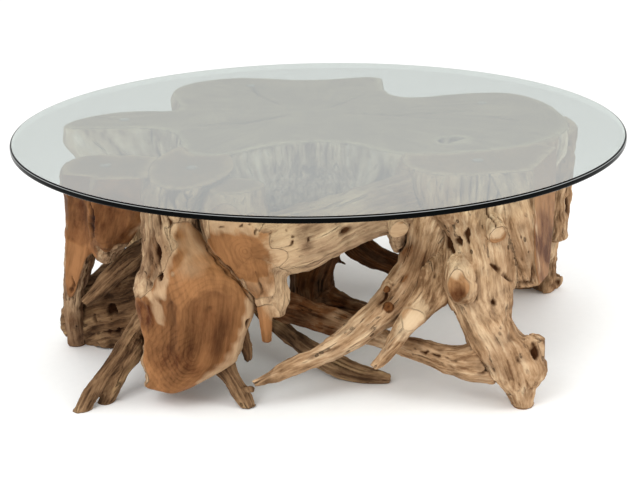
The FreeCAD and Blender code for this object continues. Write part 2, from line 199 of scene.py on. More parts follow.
# Splits, rotted holes and creases: (the line it follows, half its width, its depth) in millimetres
GROOVES = {
    "stump_crown": [
        ([(-40, 150, 416), (-150, 80, 416), (-270, 60, 416)], 6, 14), ([(20, 190, 416), (90, 300, 416)], 5, 12),
        ([(40, 150, 416), (170, 120, 416), (330, 150, 416)], 6, 14),
        ([(-60, 200, 416), (-130, 330, 416), (-150, 430, 416)], 5, 12),
        ([(-380, 120, 416), (-470, 150, 416)], 5, 10), ([(330, 120, 416), (420, 40, 416)], 5, 10),
    ],
    "front_left_block": [
        ([(-291, -380, 335), (-287, -388, 305), (-282, -397, 274)], 8, 17),
        ([(-281, -400, 261)], 8, 11),
        ([(-303, -368, 350), (-304, -376, 305), (-306, -380, 255)], 5, 7),
        ([(-195, -406, 198)], 6, 3),
        ([(-132, -386, 162), (-122, -376, 156)], 11, 10),
        ([(-152, -392, 108), (-146, -388, 96)], 8, 7),
        ([(-214, -345, 332), (-199, -361, 302), (-171, -379, 274), (-144, -381, 240), (-119, -377, 195)], 6, 9),
    ],
    "front_center_block": [
        ([(-214, -345, 332), (-199, -361, 302), (-171, -379, 274), (-144, -381, 240), (-119, -380, 195)], 6, 9),
        ([(-114, -391, 266), (-108, -391, 240), (-104, -391, 212)], 3.5, 5),
        ([(112, -335, 338), (60, -355, 320), (0, -378, 303)], 4, 6),
        ([(172, -308, 352), (128, -332, 332)], 5, 7),
        ([(-30, -385, 345), (-62, -392, 338)], 4, 6),
        ([(-110, -392, 352), (-122, -392, 348)], 4, 6),
        ([(-166, -385, 350), (-175, -386, 342)], 3.5, 6), ([(-136, -389, 352), (-144, -389, 345)], 3.5, 6),
        ([(-104, -386, 340), (-113, -387, 332)], 3.5, 6), ([(-80, -382, 338), (-93, -384, 327)], 4, 7),
        ([(-51, -385, 339), (-61, -387, 330)], 4, 7), ([(-41, -391, 330), (-51, -392, 321)], 3.5, 6),
        ([(-46, -394, 320), (-54, -394, 312)], 3.5, 6), ([(-15, -390, 327), (-25, -391, 318)], 3.5, 6),
    ],
    "left_slab_root": [
        ([(-411, -298, 372), (-414, -288, 325), (-421, -264, 282)], 7, 8),
        ([(-470, -200, 190), (-488, -160, 110)], 5, 7),
    ],
    "left_panel_root": [
        ([(-410, -141, 99)], 14, 13), ([(-446, -118, 72)], 9, 9), ([(-380, -150, 60), (-440, -118, 40)], 5, 7),
    ],
    "right_front_leg": [
        ([(222, -322, 330), (230, -335, 292), (238, -365, 279)], 11, 15),
        ([(236, -340, 340), (243, -356, 308), (241, -378, 286)], 7, 11),
        ([(299, -384, 270), (322, -378, 247), (350, -346, 217)], 5, 7),
        ([(302, -368, 352), (298, -378, 315), (292, -386, 285)], 4, 6),
        ([(264, -352, 352), (259, -366, 320), (262, -380, 290)], 5, 8),
        ([(330, -345, 352), (338, -350, 312), (352, -346, 265)], 4, 6),
        ([(318, -396, 166)], 4, 5), ([(344, -421, 112), (353, -426, 92)], 5, 6),
        ([(300, -398, 216), (307, -403, 194)], 4, 6),
        ([(370, -404, 142), (379, -412, 102), (377, -415, 62)], 7, 9),
        ([(274, -395, 250), (270, -396, 215), (276, -398, 182)], 4, 5),
    ],
    "brace_root": [
        ([(118, -374, 216)], 5, 6), ([(121, -374, 181)], 5, 6),
        ([(150, -338, 242), (110, -356, 192), (60, -372, 142)], 4, 6), ([(20, -380, 113), (-40, -392, 90)], 5, 4),
    ],
    "spur_root": [([(208, -342, 245), (194, -366, 205)], 5, 7), ([(128, -404, 130), (104, -416, 100)], 4, 4)],
    "lower_cross_root": [
        ([(255, -408, 90), (205, -390, 96), (160, -352, 96)], 4, 6), ([(292, -414, 78), (268, -412, 66)], 5, 6),
    ],
}

# Shallow dishes that the grinding disc left, and a burr under the stump that stands out by as much as its depth is
# below nought: (the line it follows, half its width, its depth) in millimetres
DISHES = {
    "stump_crown": [([(-120, -12, 290), (-50, -22, 292), (40, -34, 296)], 50, -20)],
    "front_left_block": [
        ([(-202, -410, 120), (-196, -408, 182)], 56, 8), ([(-290, -408, 110), (-285, -410, 190)], 40, 5),
        ([(-318, -384, 172), (-320, -382, 190)], 24, 4),
    ],
    "front_center_block": [([(-158, -388, 325), (-128, -390, 285)], 44, 6)],
    "left_slab_root": [
        ([(-372, -298, 350), (-374, -292, 310)], 44, 6), ([(-448, -262, 345), (-452, -250, 290)], 34, 4),
    ],
    "right_front_leg": [([(239, -409, 222)], 24, 3)],
}

# Where the wood is lighter (above nought) or darker (below it) than the rest: (middle, reach, how much). Most are the
# wood's own tone; some are painted shade on inner roots and on the brace, and painted light on tops under the glass
TONES_AND_PAINTED_SHADING = {
    "stump_crown": [
        ((-245, 350, 290), 120, -0.5), ((-58, 380, 290), 120, -0.5), ((330, 230, 290), 140, -0.5),
        ((-392, 140, 290), 120, -0.5), ((150, 380, 270), 110, -0.35), ((-400, 280, 290), 110, -0.3),
        ((-460, 270, 330), 160, -0.4), ((-330, 370, 330), 170, -0.4), ((-150, 470, 330), 190, -0.4),
        ((80, 420, 330), 190, -0.4), ((280, 300, 330), 190, -0.4), ((420, 130, 330), 170, -0.4),
    ],
    "left_rear_leg": [((-400, 135, 350), 130, 0.25), ((-390, 150, 200), 300, 0.12)],
    "rear_left_leg": [((-238, 335, 340), 130, 0.25), ((-245, 365, 190), 300, 0.12)],
    "rear_center_leg": [((-52, 375, 340), 130, 0.25), ((-58, 400, 170), 300, 0.12)],
    "rear_right_leg": [((322, 220, 340), 130, 0.25), ((330, 270, 190), 300, 0.12)],
    "front_left_block": [
        # The lighter patch at the top, under the glass, is painted light against the glass's shade
        ((-203, -410, 150), 92, -0.2), ((-242, -392, 312), 66, 0.24), ((-230, -330, 400), 80, 0.45),
        ((-292, -385, 300), 64, -0.7), ((-320, -380, 185), 36, -0.45), ((-262, -415, 90), 60, -0.3),
    ],
    "front_center_block": [
        # The lighter patch at the top left, under the glass, is painted light against the glass's shade
        ((60, -345, 330), 130, 0.2), ((190, -300, 370), 60, -0.1), ((-140, -370, 395), 60, 0.4),
        ((-140, -390, 290), 120, 0.14),
    ],
    "left_slab_root": [((-400, -285, 330), 130, -0.3), ((-498, -100, 60), 140, -0.6), ((-412, -290, 320), 26, -0.3)],
    "right_front_leg": [
        ((239, -408, 216), 24, -0.5), ((402, -392, 100), 40, -0.6), ((228, -340, 330), 55, -0.5),
        # The lighter patch at the top, under the glass, is painted light against the glass's shade
        ((310, -330, 405), 90, 0.45), ((300, -390, 200), 80, 0.15), ((372, -335, 270), 80, -0.34),
        ((416, -268, 270), 90, -0.7), ((330, -410, 120), 70, -0.25),
    ],
    "brace_root": [
        ((118, -372, 217), 14, -1.8), ((121, -372, 182), 14, -1.8), ((120, -350, 200), 60, -0.4),
        # The dark patch on the brace's upper part, and the slight dark low on it, are painted shade
        ((168, -335, 262), 50, -0.7), ((10, -375, 110), 110, -0.1),
    ],
    "spur_root": [((205, -340, 250), 60, -0.1), ((160, -390, 165), 27, 0.35)],
    "front_left_leg": [((-380, -335, 70), 140, -0.3)],
    "front_middle_leg": [((-160, -370, 50), 90, -0.25)],
    # The inner end of the cross root is painted darker: painted shade behind the front roots
    "lower_cross_root": [((-60, -245, 140), 170, -0.9)],
    "right_end_root": [((500, 40, 330), 120, -0.2)],
    # Inner roots under the crown are painted darker: painted shade
    "inner_center_leg": [((0, 50, 180), 300, -0.9)],
    "rear_arch_root": [((150, 110, 100), 300, -0.9)],
    "low_curved_root": [((-130, -90, 150), 160, -0.8), ((60, -275, 20), 110, -0.1)],
    "left_panel_root": [((-380, -140, 90), 180, -0.55)],
    "left_stub_root": [((-400, -195, 180), 160, -0.3)],
    "hanging_spike": [((-148, -325, 100), 80, -0.5)],
}

# The roots that each root was fitted to, where its own wood swells out into theirs
PARENTS = {
    "right_front_leg": ["stump_crown"],
    "front_left_block": ["stump_crown"],
    "front_center_block": ["right_front_leg"],
    "brace_root": ["right_front_leg", "front_center_block"],
    "left_slab_root": ["front_left_block"],
    "right_panel_root": ["stump_crown", "right_front_leg"],
    "right_end_root": ["stump_crown", "right_panel_root"],
    "lower_cross_root": ["right_front_leg", "front_left_block"],
    "spur_root": ["right_front_leg", "brace_root"],
    "left_panel_root": ["front_left_block", "left_slab_root"],
    "left_stub_root": ["front_left_block"],
    "front_left_leg": ["front_left_block"],
    "front_middle_leg": ["front_left_block"],
    "hanging_spike": ["front_left_block"],
    "rear_arch_root": ["inner_center_leg"],
    "rear_cross_root": ["rear_left_leg", "rear_center_leg"],
}


def linear(code):
    """A colour of Blender's from its sRGB hex code."""
    parts = [int(code[i : i + 2], 16) / 255 for i in (1, 3, 5)]
    return [p / 12.92 if p <= 0.04045 else ((p + 0.055) / 1.055) ** 2.4 for p in parts] + [1.0]


def add_node(tree, kind, inputs=(), output=None, **settings):
    """Add a node with its settings, and hand back its output of that name, or else its first one that is in use.

    A kind without Node in it is one of the shader nodes. The inputs are in order, or by name: each is a value, or
    an output that gets linked.
    """
    made = tree.nodes.new(kind if "Node" in kind else "ShaderNode" + kind)
    for name, value in settings.items():
        setattr(made, name, value)
    for name, value in inputs.items() if isinstance(inputs, dict) else enumerate(inputs):
        if isinstance(value, bpy.types.NodeSocket):
            tree.links.new(value, made.inputs[name])
        else:
            made.inputs[name].default_value = value
    if output:
        return made.outputs[output]
    return next((socket for socket in made.outputs if socket.enabled), None)


def grain(add, where, scale, along=1.0, detail=2.0, roughness=0.5):
    """Noise with about scale spots to a metre, drawn out along the fibres where along is below 1."""
    if along < 1:
        where = add("VectorMath", (where, (1, 1, along)), operation="MULTIPLY")
    return add("TexNoise", {"Vector": where, "Scale": scale, "Detail": detail, "Roughness": roughness})


def distance_from(add, value, middle):
    """How far a value in a node tree is from a middle value."""
    gap = add("Math", (value, middle), operation="SUBTRACT")
    return add("Math", (gap,), operation="ABSOLUTE")


def new_material(name):
    """An empty material, and the function that adds its nodes."""
    material = bpy.data.materials.new(name)
    material.use_nodes = True
    material.node_tree.nodes.clear()
    return material, functools.partial(add_node, material.node_tree)


def soft_line(points, step=8 * MM):
    """Places along a soft curve through points, its direction there and how far along they are."""
    corners = np.array(points, float) * MM
    ends = np.vstack([2 * corners[0] - corners[1], corners, 2 * corners[-1] - corners[-2]])
    runs = []
    for a, b, c, d in zip(ends, ends[1:], ends[2:], ends[3:]):
        t = np.linspace(0, 1, max(3, int(np.linalg.norm(c - b) / step)), endpoint=False)[:, None]
        bend = (2 * a - 5 * b + 4 * c - d) * t**2 + (3 * b - a - 3 * c + d) * t**3
        runs.append(b + 0.5 * ((c - a) * t + bend))
    line = np.vstack(runs + [corners[-1:]])
    way = np.gradient(line, axis=0)
    way /= np.linalg.norm(way, axis=1)[:, None]
    along = np.concatenate([[0], np.cumsum(np.linalg.norm(np.diff(line, axis=0), axis=1))])
    return line, way, along


def fibre_coordinates(places, limbs):
    """Where each place lies in its root: two distances across the fibres and one along them, in metres."""
    lines, ways, alongs, sides = [], [], [], []
    for index, limb in enumerate(limbs):
        line, way, along = soft_line(limb)
        side = np.zeros(3)
        side[np.argmin(np.abs(line[-1] - line[0]))] = 1
        lines.append(line)
        ways.append(way)
        alongs.append(along + index * LIMB_SHIFT)
        sides.append(np.tile(side, (len(line), 1)))
    line, way, along, side = np.vstack(lines), np.vstack(ways), np.concatenate(alongs), np.vstack(sides)
    gap = (line**2).sum(1)[None] - 2 * places @ line.T
    nearest = np.argmin(gap, axis=1)
    away, t, first = places - line[nearest], way[nearest], side[nearest]
    slip = (away * t).sum(1)
    radial = away - t * slip[:, None]
    first = first - t * (first * t).sum(1)[:, None]
    first /= np.linalg.norm(first, axis=1)[:, None]
    second = np.cross(t, first)
    return np.stack([(radial * first).sum(1), (radial * second).sum(1), along[nearest] + slip], axis=1)


def stump_coordinates(places):
    """Fibre coordinates of the stump: they run straight down near its middle, and fan out and down its flanks."""
    across = places[:, :2] - np.array(STUMP_MIDDLE) * MM
    out = np.hypot(across[:, 0], across[:, 1])
    inner = np.minimum(out, STUMP_CORE)
    return np.column_stack([across * (inner / np.maximum(out, MM))[:, None], places[:, 2] - (out - inner)])


def ring_distance(places, fibres, piths):
    """How far each place is from the pith that its growth rings go round, in metres."""
    if not piths:
        return np.hypot(fibres[:, 0], fibres[:, 1])
    gaps = []
    for point, way in piths:
        away = places - np.array(point) * MM
        axis = np.array(way, float) / np.linalg.norm(way)
        gaps.append(np.linalg.norm(away - np.outer(away @ axis, axis), axis=1))
    return -RING_BLEND * np.log(np.sum(np.exp(-np.array(gaps) / RING_BLEND), axis=0))


def flat_triangles(mesh):
    """Which triangles of a solid's mesh lie in a flat face, and which of these in a saw cut that faces up."""
    count = len(mesh.polygons)
    normals, centres, areas = np.zeros(count * 3), np.zeros(count * 3), np.zeros(count)
    mesh.polygons.foreach_get("normal", normals)
    mesh.polygons.foreach_get("center", centres)
    mesh.polygons.foreach_get("area", areas)
    normals, centres = normals.reshape(-1, 3), centres.reshape(-1, 3)
    # Triangles lie in one face where their directions and their distances from the origin agree
    offset = (normals * centres).sum(1)
    key = np.column_stack([np.round(normals * 300), np.round(offset / (0.5 * MM))])
    _, group = np.unique(key, axis=0, return_inverse=True)
    group = group.ravel()
    flat = np.bincount(group, areas)[group] > SAWN_AREA
    return flat, flat & (normals[:, 2] > CUT_UPWARD)


def places_of(mesh):
    """A mesh's vertices as rows of x, y and z."""
    flat = np.zeros(len(mesh.vertices) * 3)
    mesh.vertices.foreach_get("co", flat)
    return flat.reshape(-1, 3)


def store(mesh, name, kind, values):
    """Keep a value of each vertex under a name that the node trees read."""
    layer = mesh.attributes.new(name, kind, "POINT")
    layer.data.foreach_set("vector" if kind == "FLOAT_VECTOR" else "value", np.ravel(values).astype(np.float32))


def new_object(name, data):
    """An object of a mesh, a lamp or a camera, in the scene."""
    obj = bpy.data.objects.new(name, data)
    bpy.context.scene.collection.objects.link(obj)
    return obj


def evaluated_mesh(obj):
    """An object's mesh with its modifiers applied, as plain data."""
    graph = bpy.context.evaluated_depsgraph_get()
    return bpy.data.meshes.new_from_object(obj.evaluated_get(graph), depsgraph=graph)


def even_copy(node, grid):
    """A copy of a solid's mesh with its doubles merged, and the same drawn anew on an even grid."""
    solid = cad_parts[node].data.copy()
    work = bmesh.new()
    work.from_mesh(solid)
    bmesh.ops.remove_doubles(work, verts=work.verts, dist=0.01 * MM)
    work.to_mesh(solid)
    work.free()
    obj = new_object(node + "_looks", solid)
    remesh = obj.modifiers.new("even_grid", "REMESH")
    remesh.mode = "VOXEL"
    remesh.voxel_size = grid
    even = evaluated_mesh(obj)
    obj.modifiers.remove(remesh)
    return obj, solid, even


def weathering_tree():
    """Geometry nodes that wear a root: edges round off, and grown wood gets lumps, flutes, fissures and pits.

    Near the neighbours that it was fitted to, the wood swells out into them.
    """
    tree = bpy.data.node_groups.new("weathering", "GeometryNodeTree")
    kinds = {"Geometry": "Geometry", "Neighbours": "Object", "Rounding": "Int", "Finish": "Material"}
    for name in ("Geometry", "Neighbours", *WEAR, "Collar height", "Collar reach", "Crown top", "Finish"):
        tree.interface.new_socket(name, in_out="INPUT", socket_type="NodeSocket" + kinds.get(name, "Float"))
    tree.interface.new_socket("Geometry", in_out="OUTPUT", socket_type="NodeSocketGeometry")
    add = functools.partial(add_node, tree)
    given = add("NodeGroupInput").node.outputs
    place = add("GeometryNodeInputPosition")
    fibre = add("GeometryNodeInputNamedAttribute", {"Name": "fibre"}, data_type="FLOAT_VECTOR")
    ground, groove, dish = (
        add("GeometryNodeInputNamedAttribute", {"Name": name}, data_type="FLOAT")
        for name in ("ground", "groove", "dish")
    )
    soft_ground = add("GeometryNodeBlurAttribute", {0: ground, "Iterations": 3}, data_type="FLOAT")
    grown = add("MapRange", {"Value": soft_ground, "From Min": 0.75, "From Max": 0.05})

    rounded = add("GeometryNodeBlurAttribute", {0: place, "Iterations": given["Rounding"]}, data_type="FLOAT_VECTOR")
    round_off = add("GeometryNodeSetPosition", {"Geometry": given["Geometry"], "Position": rounded})

    # Lumps are about 90 mm apart, and knurls 35 mm
    in_and_out = {"From Min": 0.3, "From Max": 0.7, "To Min": -1.0}
    lump = add("MapRange", {"Value": grain(add, place, 11), **in_and_out})
    lump = add("Math", (lump, given["Lump height"]), operation="MULTIPLY")
    knurl = add("MapRange", {"Value": grain(add, place, 29, detail=3), **in_and_out})

    # Flutes are about 20 mm wide and ten times as long, with a crease between each two
    off_crease = distance_from(add, grain(add, fibre, 50, along=0.1, detail=3), 0.5)
    flute = add("MapRange", {"Value": off_crease, "From Max": 0.2, "To Min": -1.0, "To Max": 0.6})
    flute = add("Math", (flute, given["Flute height"]), operation="MULTIPLY")
    flute = add("Math", (knurl, given["Knurl height"], flute), operation="MULTIPLY_ADD")

    # Fissures open where one noise crosses its middle, and only in some stretches
    off_split = distance_from(add, grain(add, fibre, 30, along=0.06, detail=1.5), 0.5)
    split = add("MapRange", {"Value": off_split, "From Min": 0.04, "From Max": 0.0})
    stretch = grain(add, fibre, 13, along=0.5, detail=1)
    here = add("MapRange", {"Value": stretch, "From Min": 0.5, "From Max": 0.6})
    split = add("Math", (split, here), operation="MULTIPLY")
    fissure = add("Math", (split, given["Fissure depth"]), operation="MULTIPLY")

    # Pits are about 12 mm across and twice as long, in cells of 33 mm, where wood rotted out
    oval = add("VectorMath", (fibre, (1, 1, 0.5)), operation="MULTIPLY")
    cell = add("TexVoronoi", {"Vector": oval, "Scale": 30.0})
    hole = add("MapRange", {"Value": cell, "From Min": 0.30, "From Max": 0.12})
    rot = add("MapRange", {"Value": grain(add, place, 13, detail=1), "From Min": 0.54, "From Max": 0.62})
    hole = add("Math", (hole, rot), operation="MULTIPLY")
    pit = add("Math", (hole, given["Pit depth"]), operation="MULTIPLY")

    # The collar that a root grows where it leaves another
    others = add("GeometryNodeObjectInfo", {"Object": given["Neighbours"]}, "Geometry")
    gap = add("GeometryNodeProximity", {"Geometry": others}, "Distance", target_element="FACES")
    near = add("Math", (gap, given["Collar reach"]), operation="DIVIDE")
    near = add("Math", (1.0, near), operation="SUBTRACT", use_clamp=True)
    near = add("Math", (near, 2.0), operation="POWER")
    collar = add("Math", (near, given["Collar height"]), operation="MULTIPLY")

    # What is carved stays clear of ground faces, apart from the listed splits
    carved = flute
    for form, how in ((fissure, "SUBTRACT"), (pit, "SUBTRACT"), (grown, "MULTIPLY"), (groove, "SUBTRACT")):
        carved = add("Math", (carved, form), operation=how)
    height = add("Math", (lump, grown, carved), operation="MULTIPLY_ADD")
    for form, how in ((collar, "ADD"), (dish, "SUBTRACT")):
        height = add("Math", (height, form), operation=how)

    # The wood moves in or out by that height, and stays level at the floor and at the sawn tops
    normal = add("GeometryNodeInputNormal")
    push = add("VectorMath", {0: normal, "Scale": height}, operation="SCALE")
    moved = add("VectorMath", (place, push), operation="ADD")
    part = add("SeparateXYZ", (moved,)).node.outputs
    level = add("Math", (part["Z"], FLOOR), operation="MAXIMUM")
    level = add("Math", (level, given["Crown top"]), operation="MINIMUM")
    target = add("CombineXYZ", (part["X"], part["Y"], level))

    kept = add("GeometryNodeStoreNamedAttribute", {"Geometry": round_off, "Name": "carved", "Value": carved})
    faded = add("GeometryNodeStoreNamedAttribute", {"Geometry": kept, "Name": "ground", "Value": soft_ground})
    worn = add("GeometryNodeSetPosition", {"Geometry": faded, "Position": target})
    smooth = add("GeometryNodeSetShadeSmooth", {"Geometry": worn})
    solid = add("GeometryNodeRealizeInstances", {"Geometry": smooth})
    finished = add("GeometryNodeSetMaterial", {"Geometry": solid, "Material": given["Finish"]})
    add("NodeGroupOutput", {"Geometry": finished})
    return tree


def wear(obj, tree, inputs):
    """Run the weathering tree on an object and keep its result as the object's plain mesh."""
    modifier = obj.modifiers.new("weathering", "NODES")
    modifier.node_group = tree
    names = {item.name: item.identifier for item in tree.interface.items_tree if item.in_out == "INPUT"}
    for name, value in inputs.items():
        modifier[names[name]] = value
    mesh = evaluated_mesh(obj)
    obj.modifiers.remove(modifier)
    obj.data = mesh


def teak_root(name, weathered, sanded, pale):
    """Teak root. Grown wood is fibrous, split and dull; ground faces are smooth and show faint growth rings.

    weathered holds four colours from the hollows to the ridges, sanded the dark and light of the heartwood,
    and pale is the sapwood.
    """
    material, add = new_material(name)
    place = add("TexCoord", output="Object")
    fibre = add("Attribute", output="Vector", attribute_name="fibre")
    ring, ground, tone_and_shading, sap, carved, sawn = (
        add("Attribute", output="Fac", attribute_name=mark)
        for mark in ("ring", "ground", "tone_and_shading", "sap", "carved", "sawn")
    )

    # Grown wood: fibres about 5 mm wide, streaks of 19 mm, mottling of 26 mm and less, patches of 125 mm
    threads = grain(add, fibre, 190, along=0.08, detail=2.5, roughness=0.6)
    streaks = grain(add, fibre, 52, along=0.12, detail=5, roughness=0.6)
    mottle = grain(add, fibre, 38, along=0.4, detail=6, roughness=0.7)
    patches = grain(add, place, 8, detail=3)
    shade = streaks
    for noise, weight in ((threads, 0.9), (mottle, 1.4), (patches, 0.8)):
        shade = add("Math", (noise, weight, shade), operation="MULTIPLY_ADD")
    shade = add("MapRange", {"Value": shade, "From Min": 1.7, "From Max": 2.42})
    ramp = add("ValToRGB", {"Fac": shade})
    stops = ramp.node.color_ramp.elements
    stops[0].position, stops[0].color = 0.05, linear(weathered[0])
    stops[1].position, stops[1].color = 0.95, linear(weathered[3])
    stops.new(0.35).color = linear(weathered[1])
    stops.new(0.62).color = linear(weathered[2])

    # Worm holes 3 mm across, in cells of 16 mm, and hairline splits along the fibres
    dots = add("VectorMath", (fibre, (1, 1, 0.6)), operation="MULTIPLY")
    dot = add("TexVoronoi", {"Vector": dots, "Scale": 62.0})
    dot = add("MapRange", {"Value": dot, "From Min": 0.18, "From Max": 0.1})
    few = add("MapRange", {"Value": patches, "From Min": 0.5, "From Max": 0.6})
    dot = add("Math", (dot, few), operation="MULTIPLY")
    off_hair = distance_from(add, grain(add, fibre, 60, along=0.03, detail=1.5), 0.5)
    split = add("MapRange", {"Value": off_hair, "From Min": 0.026, "From Max": 0.006})
    some = add("MapRange", {"Value": mottle, "From Min": 0.54, "From Max": 0.64})
    split = add("Math", (split, some), operation="MULTIPLY")
    gone = add("Math", (dot, split), operation="MAXIMUM")
    dark = add("Math", (gone, 0.6), operation="MULTIPLY")
    grown_colour = add("Mix", {"Factor": dark, "A": ramp, "B": linear("#3a281b")}, data_type="RGBA")

    # Ground face: heartwood with flames along the fibres, and faint rings about 9 mm apart that waver
    slow = grain(add, place, 10, detail=4)
    bend = add("Math", (slow, 0.06, ring), operation="MULTIPLY_ADD")
    turns = add("Math", (bend, 2 * math.pi / (8.7 * MM)), operation="MULTIPLY")
    ring_wave = add("Math", (turns,), operation="SINE")
    ring_line = add("MapRange", {"Value": ring_wave, "From Min": 0.1, "From Max": 1.0})
    shown = add("MapRange", {"Value": patches, "From Min": 0.42, "From Max": 0.62})
    fade = {"From Min": 25 * MM, "From Max": 110 * MM, "To Min": 1.0, "To Max": 0.25}
    near_pith = add("MapRange", {"Value": ring, **fade})
    shown = add("Math", (shown, near_pith), operation="MULTIPLY")
    on_cut = add("Math", (sawn, 1.5), operation="MULTIPLY")
    shown = add("Math", (shown, on_cut), operation="MAXIMUM")
    ring_line = add("Math", (ring_line, shown), operation="MULTIPLY")

    # A saw cut also shows rays out from the pith, and checks that opened along them as it dried; both noises go round
    # the pith, so their scales count spots in a turn and not in a length
    across = add("VectorMath", (fibre, (1, 1, 0)), operation="MULTIPLY")
    spoke = add("VectorMath", (across,), operation="NORMALIZE")
    outward = add("CombineXYZ", {2: ring})
    spoke = add("VectorMath", (outward, (0, 0, 0.5), spoke), operation="MULTIPLY_ADD")
    ray = add("TexNoise", {"Vector": spoke, "Scale": 24.0, "Detail": 3.0})
    ray = add("Math", (ray, 0.5), operation="SUBTRACT")
    ray = add("Math", (ray, sawn), operation="MULTIPLY")
    check_noise = add("TexNoise", {"Vector": spoke, "Scale": 5.0, "Detail": 2.0})
    off_check = distance_from(add, check_noise, 0.5)
    check = add("MapRange", {"Value": off_check, "From Min": 0.012, "From Max": 0.004})
    opened = add("MapRange", {"Value": slow, "From Min": 0.48, "From Max": 0.56})
    check = add("Math", (check, opened), operation="MULTIPLY")
    check = add("Math", (check, sawn), operation="MULTIPLY")

    light = streaks
    for mark, weight in ((slow, 1.3), (threads, 0.5), (ring_line, -0.22), (ray, 0.7), (check, -1.2)):
        light = add("Math", (mark, weight, light), operation="MULTIPLY_ADD")
    light = add("MapRange", {"Value": light, "From Min": 1.02, "From Max": 1.66})
    heartwood = add("Mix", {"Factor": light, "A": linear(sanded[0]), "B": linear(sanded[1])}, data_type="RGBA")
    greyed = add("Math", (sawn, 0.45), operation="MULTIPLY")
    heartwood = add("Mix", {"Factor": greyed, "A": heartwood, "B": linear("#95826b")}, data_type="RGBA")

    # Ground faces end in a ragged edge, with a line of sapwood along it
    edge = add("Math", (streaks, 0.9, ground), operation="MULTIPLY_ADD")
    smooth = add("MapRange", {"Value": edge, "From Min": 0.82, "From Max": 1.08})
    colour = add("Mix", {"Factor": smooth, "A": grown_colour, "B": heartwood}, data_type="RGBA")
    off_edge = distance_from(add, edge, 0.86)
    rim = add("MapRange", {"Value": off_edge, "From Min": 0.3, "From Max": 0.05, "To Max": 0.6})
    at_edge = add("MapRange", {"Value": ground, "From Min": 0.02, "From Max": 0.2})
    rim = add("Math", (rim, at_edge), operation="MULTIPLY")

    # Sapwood, and lighter and darker places, uneven as the mottling is: some are the wood's own tone, others painted
    # light and painted shade. Hollows get painted shade, darker the deeper they were carved
    spread = {"From Min": 0.3, "From Max": 0.7, "To Min": 0.4, "To Max": 1.6}
    uneven = add("MapRange", {"Value": mottle, **spread})
    ragged = add("Math", (sap, uneven), operation="MULTIPLY")
    paler = add("MapRange", {"Value": ragged, "From Min": 0.22, "From Max": 0.6, "To Max": 0.8})
    sapwood = add("Mix", {"Factor": threads, "A": linear(pale[0]), "B": linear(pale[1])}, data_type="RGBA")
    tone_and_shading = add("Math", (tone_and_shading, uneven), operation="MULTIPLY")
    lighter_and_painted_light = add("Math", (tone_and_shading, 1.0), operation="MULTIPLY", use_clamp=True)
    darker_and_painted_shade = add("Math", (tone_and_shading, -1.0), operation="MULTIPLY", use_clamp=True)
    hollow_shade = add("MapRange", {"Value": carved, "From Min": -0.5 * MM, "From Max": -6 * MM})
    for share, tint, blend in (
        (rim, linear(pale[0]), "MIX"),
        (paler, sapwood, "MIX"),
        (lighter_and_painted_light, linear(pale[1]), "MIX"),
        (darker_and_painted_shade, linear("#8a6b52"), "MULTIPLY"),
        (hollow_shade, linear("#67503e"), "MULTIPLY"),
    ):
        layer = {"Factor": share, "A": colour, "B": tint}
        colour = add("Mix", layer, data_type="RGBA", blend_type=blend)
    rough = add("MapRange", {"Value": smooth, "To Min": 0.85, "To Max": 0.52})

    # Relief: raised fibres and open splits on grown wood, faint rings on ground faces
    ridge = add("Math", (gone, -1.6, threads), operation="MULTIPLY_ADD")
    ridge = add("Math", (mottle, 1.6, ridge), operation="MULTIPLY_ADD")
    planed = add("Math", (light, 0.15), operation="MULTIPLY")
    relief = add("Mix", {"Factor": smooth, "A": ridge, "B": planed}, data_type="FLOAT")
    bump = add("Bump", {"Height": relief, "Strength": 1.0, "Distance": 4.0 * MM})
    dull = {"IOR": 1.45, "Specular IOR Level": 0.08}
    surface = add("BsdfPrincipled", {"Base Color": colour, "Roughness": rough, "Normal": bump, **dull})
    add("OutputMaterial", {"Surface": surface})
    return material


def spots(places, marks, fade):
    """How far inside each round mark the places lie, from 0 to 1: one row for each mark, whose outline wavers."""
    rows = []
    for middle, reach in marks:
        gap = np.linalg.norm(places - np.array(middle) * MM, axis=1) / MM
        wobble = 0.09 * reach * (np.sin(places @ (71, 53, 97)) + np.sin(places @ (-113, 131, 89)))
        rows.append(np.clip((reach - gap + wobble) / fade, 0, 1))
    return np.array(rows)


def line_gaps(places, line):
    """How far in millimetres each place is from a line through a few points, and how far along it, from 0 to 1.

    The places sway by a few millimetres first, so that nothing looks drawn with a ruler.
    """
    line = np.array(line, float)
    runs = list(zip(line, line[1:])) or [(line[0], line[0] + (0, 0, 0.1))]
    sway = np.array([np.sin(places @ k) for k in ((210, 90, 160), (-130, 240, 110), (170, -150, 230))]).T
    swayed = places / MM + 2.5 * sway
    gaps, along = np.full(len(places), np.inf), np.zeros(len(places))
    for number, (start, end) in enumerate(runs):
        run = end - start
        share = np.clip((swayed - start) @ run / (run @ run), 0, 1)
        gap = np.linalg.norm(swayed - start - share[:, None] * run, axis=1)
        along = np.where(gap < gaps, (number + share) / len(runs), along)
        gaps = np.minimum(gap, gaps)
    return gaps, along


def groove_depths(places, grooves):
    """How deep the listed splits and holes are at each place: rounded in section and thinning to their ends."""
    depths = np.zeros(len(places))
    for line, half_width, depth in grooves:
        gaps, along = line_gaps(places, line)
        taper = 1.0 if len(line) == 1 else np.sqrt(np.sin(np.pi * np.clip(along, 0.04, 0.96)))
        depths = np.maximum(depths, depth * MM * taper * np.sqrt(np.clip(1 - gaps / (half_width * taper), 0, 1)))
    return depths


